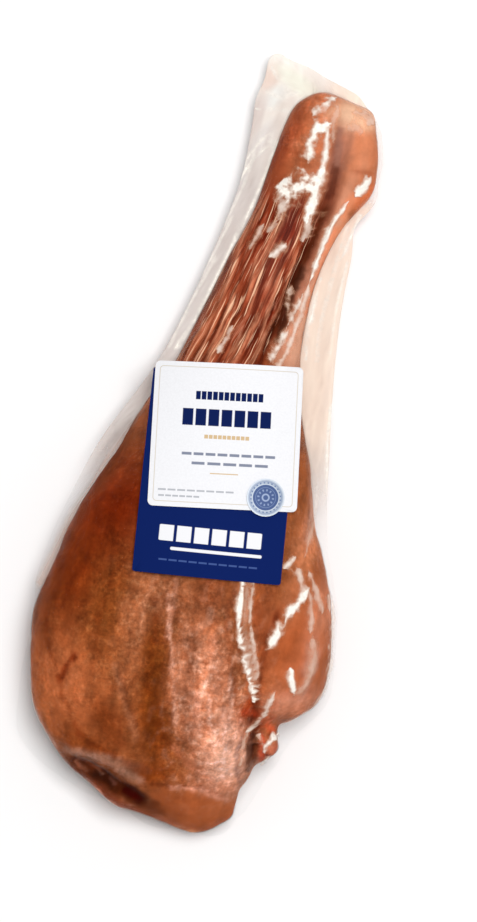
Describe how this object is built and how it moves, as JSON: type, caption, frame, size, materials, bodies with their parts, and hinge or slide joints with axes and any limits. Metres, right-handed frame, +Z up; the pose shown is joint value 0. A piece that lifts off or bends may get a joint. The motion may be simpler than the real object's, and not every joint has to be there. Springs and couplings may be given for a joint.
{
  "type": "cured lamb leg",
  "caption": "Bone-in cured leg of lamb sealed flat in clear vacuum film, with a blue backing label, a white front label and a round foil seal on top.",
  "frame": {"origin": "centre of the pack's footprint, on the surface it rests on", "axes": "+Z up out of the labelled side, +Y along the leg from the rump to the hock, +X to the right seen from above with the hock at the top"},
  "size_m": [0.182, 0.456, 0.0875],
  "materials": {
    "cured_leg": "dry-cured lamb, rust brown with darker muscle and paler fat, stood in for by leather",
    "pouch_film": "thin clear glossy plastic vacuum film, slightly milky where doubled",
    "backing_label": "smooth blue printed paper",
    "front_label": "smooth white paper with thin printed rules",
    "foil_seal": "round silver foil sticker with a blue printed disc"
  },
  "bodies": {
    "root": {"cured_leg": "cured_leg", "pouch_front_film": "pouch_film", "pouch_back_film": "pouch_film", "backing_label": "backing_label", "front_label": "front_label", "foil_seal": "foil_seal"}
  },
  "joints": []
}
